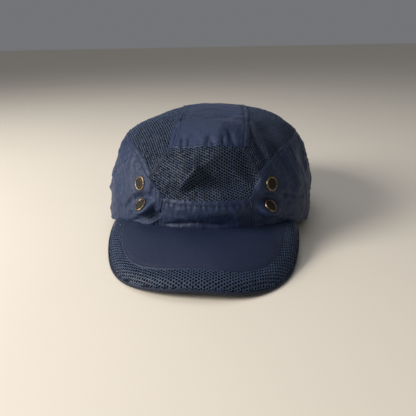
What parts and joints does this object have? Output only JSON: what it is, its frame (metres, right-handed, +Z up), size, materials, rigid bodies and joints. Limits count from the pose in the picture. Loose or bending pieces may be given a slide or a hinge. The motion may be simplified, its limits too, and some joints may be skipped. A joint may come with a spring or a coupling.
{
  "type": "bump cap",
  "caption": "Cloth cap with mesh panels, a stiffened peak, metal vent eyelets, a pull-out impact shell with foam pads and an adjustable rear strap.",
  "frame": {"origin": "middle of the outline at the table the cap stands on", "axes": "+Z up, the peak towards -Y, the rear closure towards +Y, +X to the viewer's right when the peak points at the viewer"},
  "size_m": [0.194, 0.2864, 0.103],
  "materials": {
    "navy_nylon": "plain-woven nylon, slight sheen",
    "navy_netting": "open netting backed by thin cloth",
    "binding_tape": "narrow woven tape",
    "antique_brass": "antiqued, satin",
    "sweatband_terry": "looped towelling",
    "board_plastic": "matte",
    "shell_plastic": "fine texture",
    "eva_foam": "closed-cell foam, matte",
    "strap_webbing": "ribbed webbing",
    "hook_tape": "stiff hooks",
    "loop_tape": "brushed loops"
  },
  "bodies": {
    "cap": {"top_strip": "navy_nylon", "front_mesh_panel": "navy_netting", "front_band": "navy_nylon", "left_mesh_panel": "navy_netting", "right_mesh_panel": "navy_netting", "left_side_panel": "navy_nylon", "right_side_panel": "navy_nylon", "rear_opening_binding": "binding_tape", "left_seam_tape": "binding_tape", "right_seam_tape": "binding_tape", "hem_tape": "binding_tape", "sweatband": "sweatband_terry", "peak_under_cover": "navy_nylon", "peak_board": "board_plastic", "peak_top_panel": "navy_nylon", "peak_mesh_border": "navy_netting", "peak_edge_binding": "binding_tape", "left_upper_eyelet": "antique_brass", "left_upper_washer": "antique_brass", "left_upper_screen": "antique_brass", "left_lower_eyelet": "antique_brass", "left_lower_washer": "antique_brass", "left_lower_screen": "antique_brass", "right_upper_eyelet": "antique_brass", "right_upper_washer": "antique_brass", "right_upper_screen": "antique_brass", "right_lower_eyelet": "antique_brass", "right_lower_washer": "antique_brass", "right_lower_screen": "antique_brass", "closure_ring": "shell_plastic", "closure_tab": "strap_webbing", "closure_strap": "strap_webbing", "loop_tape": "loop_tape"},
    "insert": {"hard_shell": "shell_plastic", "front_pad": "eva_foam", "rear_pad": "eva_foam", "left_pad": "eva_foam", "right_pad": "eva_foam", "crown_pad": "eva_foam"},
    "closure_flap": {"closure_tail": "strap_webbing", "hook_tape": "hook_tape"}
  },
  "joints": [
    {"name": "insert_pull_out", "type": "slide", "parent": "cap", "child": "insert", "axis": [0, 0, -1], "range_m": [0, 0.12]},
    {"name": "closure_peel", "type": "hinge", "parent": "cap", "child": "closure_flap", "pos_m": [-0.01262, 0.14187, 0.017], "axis": [0, 0, 1], "range_deg": [0, 145]}
  ]
}
